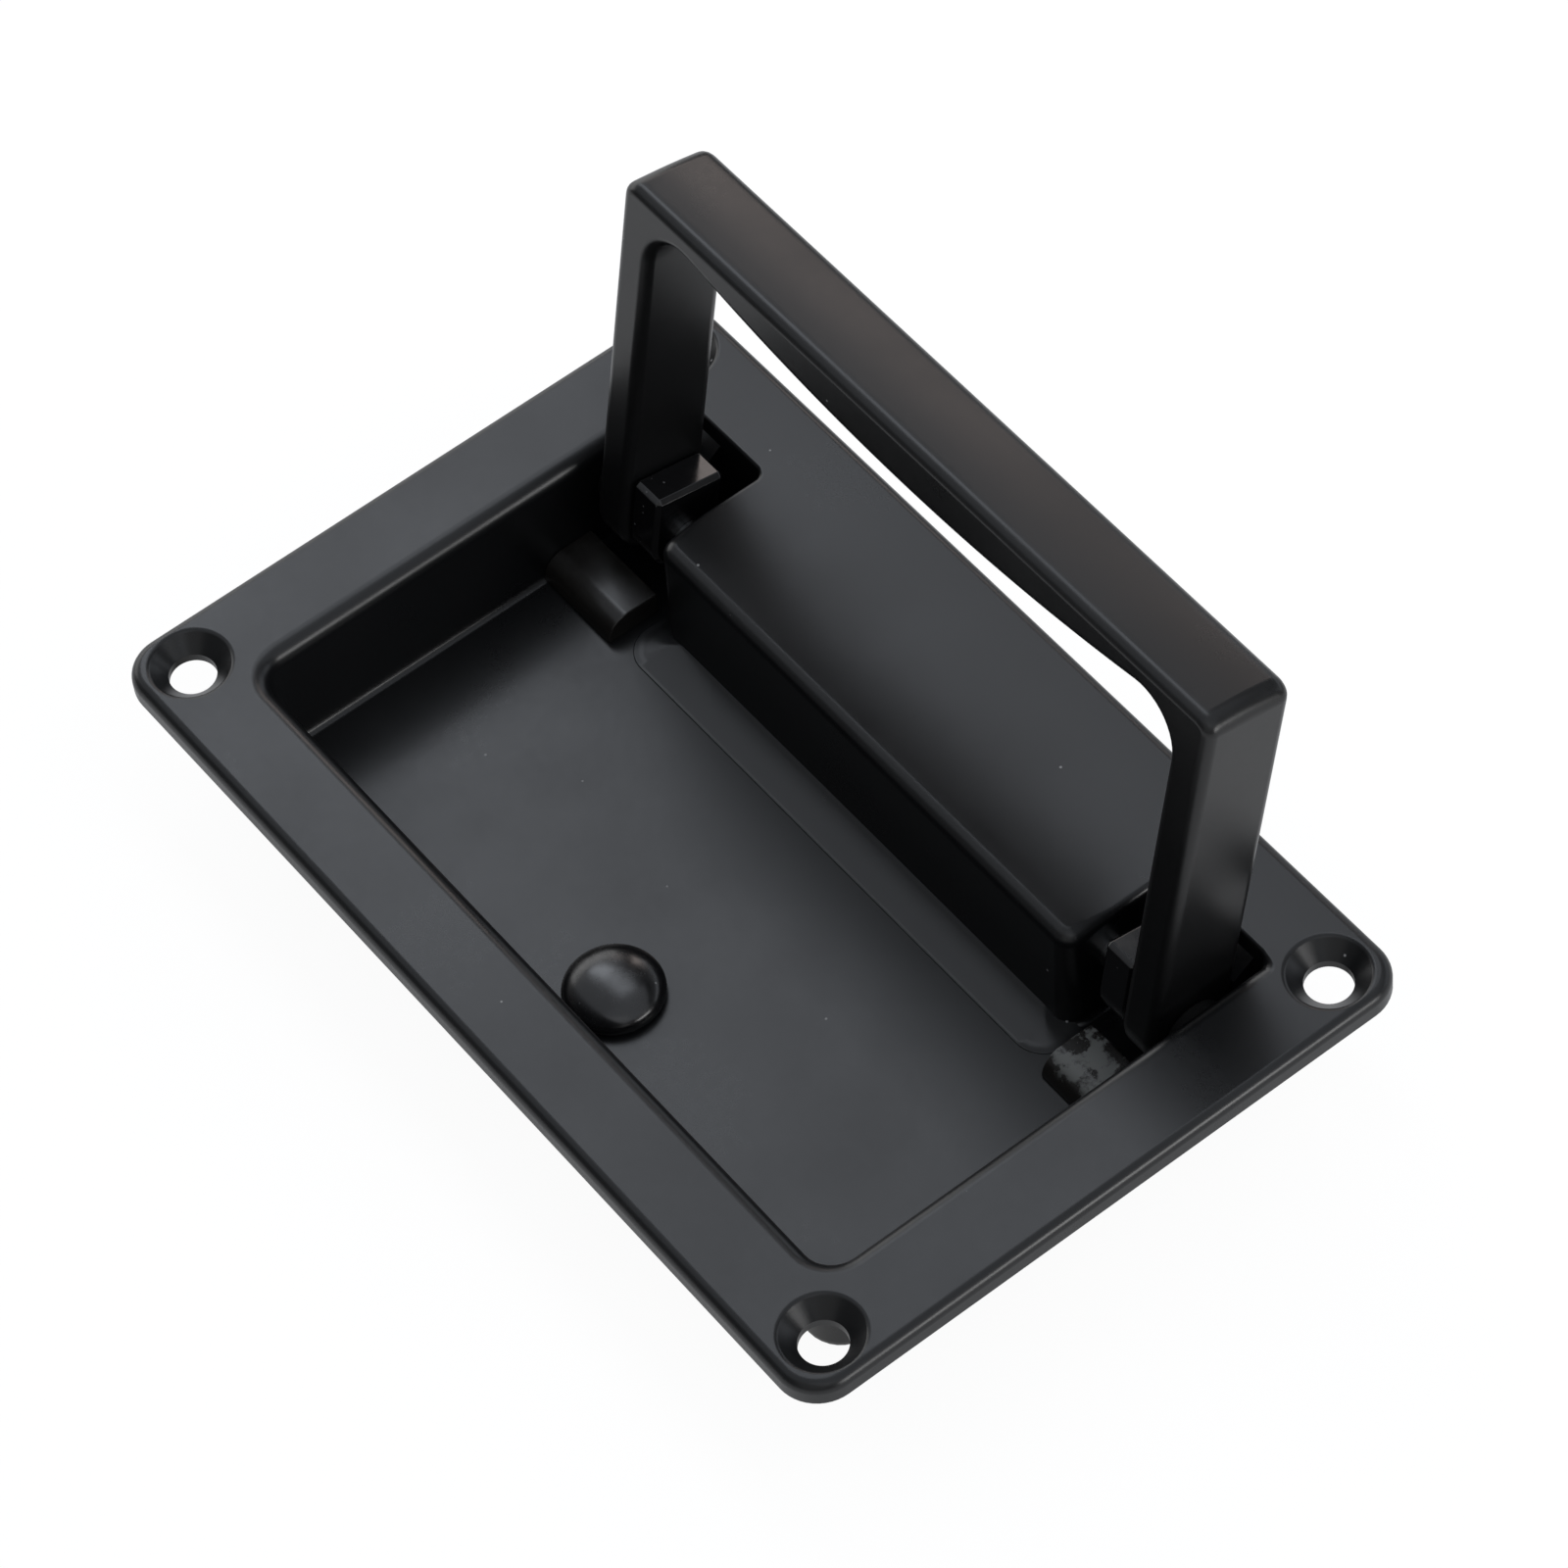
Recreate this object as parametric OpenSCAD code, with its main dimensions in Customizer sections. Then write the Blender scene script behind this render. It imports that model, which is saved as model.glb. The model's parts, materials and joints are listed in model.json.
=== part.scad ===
// Flush folding pull handle: a cast recessed pan whose U-shaped bail stands up behind the
// recess and folds forward into it on two pressed-in pins.
// X runs along the length, Y from front to rear and Z up.
// The origin is the centre of the flange's back face, and the bail stands open on its stops.

/* [Bail] */
// Outer length of the bail over its two legs
bail_l = 97; // [85:1:130]
// Width of the bail's legs and grip across the flat
bail_w = 11.1; // [9:0.1:14]
// Thickness of each leg
leg_t = 5.2; // [4:0.1:7]
// Distance from the pivot axis to the top of the grip
arm_l = 48.6; // [42:0.2:60]
// Thickness of the grip at the middle of its span
grip_t = 6.6; // [5.5:0.1:8]
// Radius of the arc that bows the grip's underside
bow_r = 235; // [220:5:400]
// Radius of the opening's two upper corners
inner_corner_r = 5.5; // [3:0.1:7]
// Radius of the bail's two outer top corners
outer_corner_r = 2.2; // [1:0.1:3]
// Rounding along the bail's outer edges
bail_edge_r = 1.3; // [0.4:0.1:2]
// Backward lean of the open bail from upright, in degrees
lean = 11.4; // [5:0.1:14]

/* [Space round the folded bail] */
// Gap from each leg to the side wall of the recess
side_gap = 2; // [1.2:0.1:4]
// Gap from the folded grip to the front wall of the recess
front_gap = 1.2; // [0.6:0.1:4]
// Depth of the folded bail below the top of the flange
flush_drop = 0.85; // [0.2:0.05:2]
// Space between the folded bail and the floor of the recess
under_gap = 3.65; // [3.5:0.05:6]
// Distance from the pivot axis to the rear wall of the pockets
rear_gap = 8.9; // [8.5:0.1:12]

/* [Flange] */
// Thickness of the flange
flange_t = 3.2; // [2.6:0.1:5]
// Width of the flange beside the recess
side_band = 11.5; // [11:0.1:20]
// Width of the flange in front of the recess
front_band = 11.3; // [11:0.1:20]
// Width of the flange behind the pockets
rear_band = 10; // [9.5:0.1:20]
// Corner radius of the flange in plan
flange_corner_r = 5; // [3:0.5:8]
// Rounding of the flange's top outer edge
flange_edge_r = 1.3; // [0.4:0.1:2]

/* [Screw holes] */
// Diameter of each screw hole
screw_hole_d = 5.4; // [4:0.1:6]
// Diameter of each countersink at the top of the flange
sink_d = 9.4; // [8:0.1:10]
// Included angle of each countersink, in degrees
sink_angle = 90; // [82:1:100]
// Distance from each hole's centre to the end of the flange
hole_inset_x = 5.9; // [5.5:0.1:6.5]
// Distance from each hole's centre to the long edge of the flange
hole_inset_y = 6.4; // [5.5:0.1:6.5]

/* [Recess] */
// Thickness of the pan's walls
wall_t = 1.6; // [1.2:0.1:3]
// Thickness of the pan's floor
floor_t = 1.5; // [1.2:0.1:3]
// Radius of the recess's two front corners in plan
recess_corner_r = 3.4; // [1.5:0.1:6]
// Radius of the pockets' rear corners in plan
pocket_corner_r = 1; // [0.5:0.1:1.5]
// Rounding of the lip along the front and side walls
lip_r = 2; // [0.5:0.1:2.4]

/* [Shelf between the pockets] */
// Width of the shelf from its front wall to the pockets' rear wall
shelf_w = 15.1; // [14.6:0.1:17]
// Rounding of the shelf's front edge
shelf_edge_r = 1.8; // [0.5:0.1:2.4]
// Gap from each pivot block to the side of the shelf
shelf_side_gap = 2.9; // [1:0.1:5]
// Width of the raised strip on the floor in front of the shelf
strip_w = 5.5; // [4.2:0.1:8]
// Height of the raised strip
strip_h = 0.6; // [0.3:0.1:1.5]
// Radius of the strip's front corners in plan
strip_corner_r = 4; // [1:0.1:4]

/* [Pivots] */
// Diameter of each pivot pin
pin_d = 4; // [3:0.1:5]
// Chamfer on the ends of each pin
pin_chamfer = 0.3; // [0.1:0.1:0.6]
// Outer diameter of each thrust washer
washer_d = 7.4; // [7:0.1:10.5]
// Thickness of each pivot block
block_t = 4.7; // [3:0.1:7]
// Width of each pivot block across the leg
block_w = 9.3; // [7.5:0.1:10.8]
// Height of each pivot block above the pivot axis
block_h = 7.1; // [5.5:0.1:9]
// Chamfer round the inner and top edges of each pivot block
block_chamfer = 0.6; // [0.2:0.1:1]
// Height of each open stop's lower end above the pivot axis
stop_low = 0.3; // [0.2:0.1:2]
// Height of each open stop's face against the bail
stop_h = 1.5; // [1.2:0.1:2.5]
// Rise of each open stop's top from that face to the rear wall
stop_rise = 2.4; // [0.5:0.1:3]
// Width of each open stop along the pivot axis
stop_l = 4.6; // [3:0.1:6]

/* [Pads and bumper] */
// Length of each rest pad from the side wall
pad_l = 12.3; // [8:0.1:13]
// Width of each rest pad
pad_w = 7.1; // [5:0.1:9]
// Rounding of each rest pad's front edge
pad_round_r = 3; // [1:0.1:3]
// Distance from the pivot axis forward to the pads' rear faces
pad_setback = 5.3; // [4:0.1:8]
// Diameter of the bumper's dome
bumper_d = 11.5; // [8:0.1:14]
// Distance from the front wall to the bumper's centre
bumper_inset = 9.3; // [8:0.1:14]
// Diameter of the bumper's stem
bumper_stem_d = 4; // [2.5:0.1:5]

/* [Fits] */
// Radial clearance of the bail and the blocks on their pins
run_clear = 0.05; // [0.02:0.01:0.1]
// Interference of each pressed pin and stem on its diameter
press_fit = 0.02; // [0.01:0.01:0.04]
// Gap from each thrust washer to the leg
washer_clear = 0.1; // [0.05:0.01:0.3]
// Gap from each open stop to the open bail
stop_clear = 0.08; // [0.05:0.01:0.3]
// Gap from the folded bail to the rest pads
pad_clear = 0.45; // [0.2:0.05:0.5]
// Gap from the folded bail to the top of the bumper
bumper_clear = 0.25; // [0.1:0.05:1]

/* [Hidden] */
$fn = 64;

// How far a cutter runs past the face that it opens
over = 1;
// How far a rib or strip runs into the wall that carries it
root = 0.5;
LEFT = -1;
RIGHT = 1;

cast_black = [0.16, 0.17, 0.18];
gloss_black = [0.06, 0.06, 0.07];
pad_black = [0.22, 0.21, 0.20];
pin_steel = [0.62, 0.63, 0.65];
washer_grey = [0.30, 0.30, 0.31];

// Distances from the middle along X
leg_out_x = bail_l / 2;
leg_in_x = leg_out_x - leg_t;
leg_mid_x = leg_out_x - leg_t / 2;
block_in_x = leg_in_x - block_t;
recess_x = leg_out_x + side_gap;
shelf_x = block_in_x - shelf_side_gap;
flange_x = recess_x + side_band;
hole_x = flange_x - hole_inset_x;

// Places along Y, with the flange centred on the origin
flange_w = front_band + front_gap + arm_l + rear_gap + rear_band;
flange_y = flange_w / 2;
hole_y = flange_y - hole_inset_y;
rear_wall_y = flange_y - rear_band;
pivot_y = rear_wall_y - rear_gap;
front_wall_y = pivot_y - arm_l - front_gap;
shelf_front_y = rear_wall_y - shelf_w;
bumper_y = front_wall_y + bumper_inset;
pad_rear_y = pivot_y - pad_setback;

// Heights along Z, with the flange's back face at 0
foot_r = bail_w / 2;
floor_z = flange_t - flush_drop - bail_w - under_gap;
pivot_z = flange_t - flush_drop - foot_r;

// A shape drawn in the (Y, Z) plane, run along X from x0 to x1
module along_x(x0, x1) {
    translate([x0, 0, 0])
        rotate([90, 0, 90])
            linear_extrude(x1 - x0) children();
}

// A shape drawn in the (X, Z) plane, run along Y from y0 to y1
module along_y(y0, y1) {
    translate([0, y1, 0])
        rotate([90, 0, 0])
            linear_extrude(y1 - y0) children();
}

// A round bar along X through the origin, from x0 to x1
module round_bar(x0, x1, d) {
    translate([x0, 0, 0])
        rotate([0, 90, 0])
            cylinder(h = x1 - x0, d = d);
}

// Puts what is drawn for the right-hand side on the side asked for
module on_side(side) {
    mirror([side < 0 ? 1 : 0, 0, 0]) children();
}

// Carries what is drawn round the pivot axis to that axis
module at_pivot() {
    translate([0, pivot_y, pivot_z]) children();
}

// The same, with the lean of the open bail
module on_bail() {
    at_pivot() rotate([-lean, 0, 0]) children();
}

// Half of a flat bar's section, h high, with its top corner rounded by r
module rounded_half(half, h, r) {
    square([half - r, h]);
    square([half, h - r]);
    translate([half - r, h - r]) intersection() {
        circle(r);
        square(r);
    }
}

module rounded_section(half, h, r) {
    rounded_half(half, h, r);
    mirror([1, 0]) rounded_half(half, h, r);
}

// A plan from y0 to y1 with one radius at its front corners and another at its rear ones
module two_radius_plan(half_x, y0, y1, front_r, rear_r) {
    translate([front_r - half_x, y0])
        square([2 * (half_x - front_r), y1 - y0 - rear_r]);
    translate([rear_r - half_x, y0 + front_r])
        square([2 * (half_x - rear_r), y1 - y0 - front_r]);
    translate([-half_x, y0 + front_r])
        square([2 * half_x, y1 - y0 - front_r - rear_r]);
    for (side = [LEFT, RIGHT]) {
        translate([side * (half_x - front_r), y0 + front_r]) circle(front_r);
        translate([side * (half_x - rear_r), y1 - rear_r]) circle(rear_r);
    }
}

// The U-shaped plan of the recess with its two pockets, or the outside of its walls
module recess_plan(wall) {
    difference() {
        two_radius_plan(recess_x + wall, front_wall_y - wall, rear_wall_y + wall,
            recess_corner_r + wall, pocket_corner_r + wall);
        translate([wall - shelf_x, shelf_front_y + wall])
            square([2 * (shelf_x - wall), shelf_w + over]);
    }
}

module flange_plate() {
    corner_x = flange_x - flange_corner_r;
    corner_y = flange_y - flange_corner_r;
    along_x(-corner_x, corner_x) rounded_section(flange_y, flange_t, flange_edge_r);
    along_y(-corner_y, corner_y) rounded_section(flange_x, flange_t, flange_edge_r);
    for (sx = [LEFT, RIGHT], sy = [LEFT, RIGHT])
        translate([sx * corner_x, sy * corner_y, 0])
            rotate_extrude()
                rounded_half(flange_corner_r, flange_t, flange_edge_r);
}

// What a lip of radius r takes off a wall at x = 0 whose top is at y = 0
module lip_section(r) {
    difference() {
        translate([-over, -r]) square([over + r, r + over]);
        translate([r, -r]) circle(r);
    }
}

module recess_lips() {
    corner_x = recess_x - recess_corner_r;
    corner_y = front_wall_y + recess_corner_r;
    translate([0, front_wall_y, flange_t])
        mirror([0, 1, 0])
            along_x(-corner_x, corner_x) lip_section(lip_r);
    translate([0, shelf_front_y, flange_t])
        along_x(-shelf_x - over, shelf_x + over) lip_section(shelf_edge_r);
    for (side = [LEFT, RIGHT])
        on_side(side) {
            translate([recess_x, 0, flange_t])
                along_y(corner_y, rear_wall_y - pocket_corner_r) lip_section(lip_r);
            translate([corner_x, corner_y, flange_t])
                rotate([0, 0, -90])
                    rotate_extrude(angle = 90)
                        translate([recess_corner_r, 0]) lip_section(lip_r);
        }
}

module screw_hole() {
    sink_h = (sink_d - screw_hole_d) / 2 / tan(sink_angle / 2);
    top_r = sink_d / 2 + over * tan(sink_angle / 2);
    translate([0, 0, -over]) cylinder(h = flange_t + 2 * over, d = screw_hole_d);
    translate([0, 0, flange_t - sink_h])
        cylinder(h = sink_h + over, r1 = screw_hole_d / 2, r2 = top_r);
}

// The low strip cast on the floor in front of the shelf
module floor_strip() {
    translate([0, 0, floor_z - root])
        linear_extrude(strip_h + root)
            two_radius_plan(shelf_x, shelf_front_y - strip_w, shelf_front_y + root,
                strip_corner_r, root);
}

// The rib on a pocket's rear wall that the leaning leg comes to rest on
module open_stop() {
    wall = rear_gap + root;
    face = (foot_r + stop_clear) / cos(lean);
    low = face + stop_low * tan(lean);
    high = face + (stop_low + stop_h) * tan(lean);
    at_pivot()
        along_x(leg_mid_x - stop_l / 2, leg_mid_x + stop_l / 2)
            polygon([
                [low, stop_low],
                [wall, stop_low],
                [wall, stop_low + stop_h + stop_rise],
                [high, stop_low + stop_h]
            ]);
}

module base_pan() {
    color(cast_black) {
        difference() {
            union() {
                flange_plate();
                translate([0, 0, floor_z - floor_t])
                    linear_extrude(flange_t / 2 - floor_z + floor_t) recess_plan(wall_t);
            }
            translate([0, 0, floor_z])
                linear_extrude(flange_t - floor_z + over) recess_plan(0);
            recess_lips();
            for (sx = [LEFT, RIGHT], sy = [LEFT, RIGHT])
                translate([sx * hole_x, sy * hole_y, 0]) screw_hole();
            for (side = [LEFT, RIGHT])
                on_side(side)
                    at_pivot()
                        round_bar(shelf_x - wall_t - over, recess_x + wall_t + over,
                            pin_d - press_fit);
            translate([0, bumper_y, floor_z - floor_t - over])
                cylinder(h = floor_t + 2 * over, d = bumper_stem_d - press_fit);
        }
        floor_strip();
        for (side = [LEFT, RIGHT])
            on_side(side) open_stop();
    }
}

// The opening under the grip: straight legs, round corners and a bowed top
module grip_opening() {
    bow_z = arm_l - grip_t + bow_r;
    corner_x = leg_in_x - inner_corner_r;
    reach = bow_r + inner_corner_r;
    corner_z = bow_z - sqrt(reach * reach - corner_x * corner_x);
    meet = bow_r / reach;
    meet_x = corner_x * meet;
    meet_z = bow_z + (corner_z - bow_z) * meet;
    low_z = -foot_r - over;
    translate([-leg_in_x, low_z]) square([2 * leg_in_x, corner_z - low_z]);
    for (side = [LEFT, RIGHT])
        translate([side * corner_x, corner_z]) circle(inner_corner_r);
    difference() {
        translate([-meet_x, corner_z - over])
            square([2 * meet_x, meet_z - corner_z + 2 * over]);
        translate([0, bow_z]) circle(bow_r, $fn = 720);
    }
}

module bail_handle() {
    color(cast_black)
        on_bail()
            difference() {
                intersection() {
                    translate([0, 0, -foot_r])
                        along_y(-foot_r, foot_r)
                            rounded_section(leg_out_x, arm_l + foot_r, outer_corner_r);
                    along_x(-leg_out_x, leg_out_x) {
                        rounded_section(foot_r, arm_l, bail_edge_r);
                        circle(foot_r);
                    }
                    translate([0, 0, -foot_r - over])
                        linear_extrude(arm_l + foot_r + 2 * over) bail_plan();
                }
                along_y(-foot_r - over, foot_r + over) grip_opening();
                round_bar(-leg_out_x - over, leg_out_x + over, pin_d + 2 * run_clear);
            }
}

// The bail seen from above, with its four long edges rounded
module bail_plan() {
    two_radius_plan(leg_out_x, -foot_r, foot_r, bail_edge_r, bail_edge_r);
}

module pivot_pin(side) {
    x0 = shelf_x - wall_t;
    x1 = recess_x + wall_t;
    end_d = pin_d - 2 * pin_chamfer;
    color(pin_steel)
        on_side(side)
            at_pivot() {
                round_bar(x0 + pin_chamfer, x1 - pin_chamfer, pin_d);
                translate([x0, 0, 0]) rotate([0, 90, 0])
                    cylinder(h = pin_chamfer, d1 = end_d, d2 = pin_d);
                translate([x1 - pin_chamfer, 0, 0]) rotate([0, 90, 0])
                    cylinder(h = pin_chamfer, d1 = pin_d, d2 = end_d);
            }
}

// A block's outline seen along the pivot axis, with a round lower end
module block_side() {
    half = block_w / 2;
    circle(half);
    polygon([
        [-half, 0],
        [half, 0],
        [half, block_h - block_chamfer],
        [half - block_chamfer, block_h],
        [block_chamfer - half, block_h],
        [-half, block_h - block_chamfer]
    ]);
}

// Its outline across the axis, h high, with a chamfer at the inner top corner
module block_front() {
    translate([block_in_x, -block_w / 2])
        polygon([
            [0, 0],
            [block_t, 0],
            [block_t, block_w / 2 + block_h],
            [block_chamfer, block_w / 2 + block_h],
            [0, block_w / 2 + block_h - block_chamfer]
        ]);
}

// Its outline seen from above, with chamfers at the two inner corners
module block_plan() {
    half = block_w / 2;
    translate([block_in_x, 0])
        polygon([
            [0, block_chamfer - half],
            [block_chamfer, -half],
            [block_t, -half],
            [block_t, half],
            [block_chamfer, half],
            [0, half - block_chamfer]
        ]);
}

module pivot_block(side) {
    color(gloss_black)
        on_side(side)
            on_bail()
                difference() {
                    intersection() {
                        along_x(block_in_x, leg_in_x) block_side();
                        along_y(-block_w / 2, block_w / 2) block_front();
                        translate([0, 0, -block_w / 2])
                            linear_extrude(block_w / 2 + block_h) block_plan();
                    }
                    round_bar(block_in_x - over, leg_in_x + over, pin_d + 2 * run_clear);
                }
}

module thrust_washer(side) {
    color(washer_grey)
        on_side(side)
            at_pivot()
                difference() {
                    round_bar(leg_out_x + washer_clear, recess_x, washer_d);
                    round_bar(leg_out_x, recess_x + over, pin_d + 2 * run_clear);
                }
}

module rest_pad(side) {
    pad_h = under_gap - pad_clear;
    color(pad_black)
        on_side(side)
            translate([0, pad_rear_y - pad_w, floor_z])
                along_x(recess_x - pad_l, recess_x) {
                    translate([pad_round_r, 0]) square([pad_w - pad_round_r, pad_h]);
                    square([pad_w, pad_h - pad_round_r]);
                    translate([pad_round_r, pad_h - pad_round_r])
                        intersection() {
                            circle(pad_round_r);
                            translate([-pad_round_r, 0]) square(pad_round_r);
                        }
                }
}

module grip_bumper() {
    dome_h = under_gap - bumper_clear;
    dome_r = (bumper_d * bumper_d / 4 + dome_h * dome_h) / (2 * dome_h);
    color(gloss_black)
        translate([0, bumper_y, floor_z]) {
            intersection() {
                translate([0, 0, dome_h - dome_r]) sphere(dome_r);
                translate([-bumper_d, -bumper_d, 0]) cube([2 * bumper_d, 2 * bumper_d, bumper_d]);
            }
            translate([0, 0, -floor_t]) cylinder(h = floor_t + dome_h / 2, d = bumper_stem_d);
        }
}

base_pan();
bail_handle();
pivot_pin(LEFT);  // left_pivot_pin
pivot_pin(RIGHT);  // right_pivot_pin
pivot_block(LEFT);  // left_pivot_block
pivot_block(RIGHT);  // right_pivot_block
thrust_washer(LEFT);  // left_thrust_washer
thrust_washer(RIGHT);  // right_thrust_washer
rest_pad(LEFT);  // left_rest_pad
rest_pad(RIGHT);  // right_rest_pad
grip_bumper();
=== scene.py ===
"""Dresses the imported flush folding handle: a cast pan, its bail and their small parts.

Lengths are in metres. X runs along the handle, Y from its front wall to its pockets and
Z up.
"""

import json
import math

import bmesh
import bpy
import numpy as np
from bpy.props import FloatProperty, FloatVectorProperty, PointerProperty
from bpy.types import Operator, Panel, PropertyGroup
from mathutils import Matrix, Vector
from mathutils.geometry import delaunay_2d_cdt


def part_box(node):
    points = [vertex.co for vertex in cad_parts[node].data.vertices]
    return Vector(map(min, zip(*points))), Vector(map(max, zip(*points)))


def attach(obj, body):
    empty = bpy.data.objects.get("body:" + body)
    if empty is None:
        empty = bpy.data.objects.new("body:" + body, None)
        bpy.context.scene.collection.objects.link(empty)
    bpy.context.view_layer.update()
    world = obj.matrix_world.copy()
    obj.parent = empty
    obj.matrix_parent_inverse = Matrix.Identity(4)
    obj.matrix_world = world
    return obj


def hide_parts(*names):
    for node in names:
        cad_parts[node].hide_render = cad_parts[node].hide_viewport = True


bl_info = {
    "name": "Flush folding handle",
    "version": (1, 0, 0),
    "blender": (4, 5, 0),
    "location": "3D View > Sidebar > Handle",
    "description": "Builds the castings, small parts and stage of a folding handle",
    "category": "Object",
}

MM = 0.001
# How far a cutter reaches past what it cuts.
OVER = 1.0 * MM
# Small allowance where two places are compared.
SLACK = 0.1 * MM
# The triangulation that keeps only what lies inside the outline, and the distance at
# which it would merge two points.
INSIDE = 1
NEAREST = 1e-9
# Sides of every turned part.
ROUND_STEPS = 64
LEFT = -1
RIGHT = 1
SIDES = (("left", LEFT), ("right", RIGHT))

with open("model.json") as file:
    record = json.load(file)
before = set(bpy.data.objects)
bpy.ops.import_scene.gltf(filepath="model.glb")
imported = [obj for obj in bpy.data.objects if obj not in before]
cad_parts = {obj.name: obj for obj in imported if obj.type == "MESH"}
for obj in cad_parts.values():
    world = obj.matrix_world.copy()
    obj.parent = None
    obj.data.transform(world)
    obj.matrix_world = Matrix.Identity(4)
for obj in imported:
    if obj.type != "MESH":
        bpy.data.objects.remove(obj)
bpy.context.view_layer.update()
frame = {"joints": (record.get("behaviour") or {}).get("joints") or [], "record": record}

# What the solids fix, so that every dressed piece follows them.
HINGE = frame["joints"][0]
PIVOT = Vector(HINGE["pos_m"])
LEAN = math.radians(HINGE["range_deg"][1] - 90)
MOUNTS = {mount["name"]: mount for mount in frame["record"]["mounts"]}
SCREWS = MOUNTS["screw_holes"]["dims"]
PAN_LOW, PAN_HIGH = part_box("base_pan")
PIN_LOW, PIN_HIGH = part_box("right_pivot_pin")
BLOCK_LOW, BLOCK_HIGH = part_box("right_pivot_block")
WASHER_LOW, WASHER_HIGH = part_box("right_thrust_washer")
PAD_LOW, PAD_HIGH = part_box("right_rest_pad")
DOME_LOW, DOME_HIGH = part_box("grip_bumper")
BAIL_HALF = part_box("bail_handle")[1].x
FLOOR_Z = PAD_LOW.z
RECESS_HALF = PAD_HIGH.x
WALL = PIN_HIGH.x - RECESS_HALF
SHELF_HALF = PIN_LOW.x + WALL
LEG_INNER = BLOCK_HIGH.x
PIN_RADIUS = (PIN_HIGH.z - PIN_LOW.z) / 2
WASHER_RADIUS = (WASHER_HIGH.z - WASHER_LOW.z) / 2


def size(name, millimetres, description):
    """A length property, given here in millimetres."""
    return FloatProperty(
        name=name,
        description=description,
        default=millimetres * MM,
        min=0.0,
        precision=5,
        unit="LENGTH",
    )


def tint(name, colour, description):
    """A colour property in linear red, green and blue."""
    return FloatVectorProperty(
        name=name,
        description=description,
        default=colour,
        size=3,
        min=0.0,
        max=1.0,
        subtype="COLOR",
    )


def share(name, value, description):
    """A property for a plain number from 0 to 1."""
    return FloatProperty(
        name=name, description=description, default=value, min=0.0, max=1.0
    )


def rotation(name, degrees, description):
    """An angle property, given here in degrees."""
    return FloatProperty(
        name=name,
        description=description,
        default=math.radians(degrees),
        subtype="ANGLE",
    )


class PanSizes(PropertyGroup):
    """Sizes of the cast pan that its solid's box doesn't give."""

    corner: size("Flange corner", 5.0, "Corner radius of the flange in plan")
    edge: size("Flange edge", 1.3, "Rounding of the flange's top outer edge")
    back_edge: size("Flange back edge", 0.4, "Rounding of the flange's lower edge")
    front_wall: size("Front wall", 28.7, "Distance of the front wall from the middle")
    rear_wall: size("Rear wall", 30.0, "Distance of the pockets' rear wall")
    recess_corner: size("Recess corner", 3.4, "Radius of the recess's front corners")
    pocket_corner: size("Pocket corner", 1.0, "Radius of the pockets' rear corners")
    lip: size("Lip", 2.0, "Rounding of the lip along the front and side walls")
    shelf_front: size("Shelf front", 14.9, "Distance of the shelf's front wall")
    shelf_corner: size("Shelf corner", 2.2, "Radius of the shelf's upright corners")
    shelf_edge: size("Shelf edge", 1.8, "Rounding of the shelf's front edge")
    pocket_edge: size("Pocket edge", 0.9, "Rounding of the shelf's two end edges")
    rear_edge: size("Rear edge", 0.45, "Rounding of the pockets' rear edges")
    edge_taper: size("Edge taper", 4.0, "Length over which the rounding changes")
    floor_fillet: size("Floor fillet", 0.8, "Fillet between walls and floor")
    shelf_draft: size("Shelf draft", 0.5, "Lean of the shelf's front over its height")
    shell_edge: size("Shell edge", 2.4, "Rounding of the shell's bottom edge")
    shell_draft: size("Shell draft", 0.5, "Lean of the shell's walls over their height")
    shell_fillet: size("Shell fillet", 0.6, "Fillet between shell and flange back")
    shell_notch: size("Shell notch", 1.5, "Radius of the shell's corners at the shelf")
    strip_width: size("Strip width", 5.6, "Width of the raised strip on the floor")
    strip_over: size("Strip overhang", 1.5, "Length of the strip past the shelf's ends")
    strip_lip: size("Strip lip", 0.35, "Width of the level lip along the strip's front")
    strip_step: size("Strip step", 0.12, "Height of the strip along its front edge")
    strip_height: size("Strip height", 1.05, "Height of the strip at the shelf's foot")
    strip_corner: size("Strip corner", 4.0, "Radius of the strip's front corners")
    sink: size("Countersink", 4.7, "Radius of each countersink at the flange's face")
    sink_rim: size("Countersink rim", 0.8, "Rounding of each countersink's rim")
    stop_low: size("Stop's lower end", 0.3, "Height of each open stop above the pivot")
    stop_face: size("Stop's face", 1.5, "Height of each open stop's face")
    stop_rise: size("Stop's rise", 2.4, "Rise of each stop's top towards the rear wall")
    stop_half: size("Stop's half width", 2.3, "Half the width of each open stop")
    stop_gap: size("Stop's gap", 0.08, "Gap from each open stop to the open bail")


class BailSizes(PropertyGroup):
    """Sizes of the bail that its solid's box doesn't give."""

    width: size("Width", 11.1, "Width of the legs and grip across the flat")
    arm: size("Arm", 48.6, "Distance from the pivot axis to the top of the grip")
    grip: size("Grip", 6.6, "Thickness of the grip at mid span")
    bow: size("Bow", 235.0, "Radius of the arc under the grip")
    inner_corner: size("Inner corner", 5.5, "Radius of the opening's upper corners")
    outer_corner: size("Outer corner", 2.2, "Radius of the outer top corners")
    edge: size("Edge", 1.3, "Rounding of every long edge")
    crown: size("Crown", 0.30, "Rise of the grip's top between its two edges")
    clearance: size("Clearance", 0.05, "Radial clearance of the pivot holes")


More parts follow.
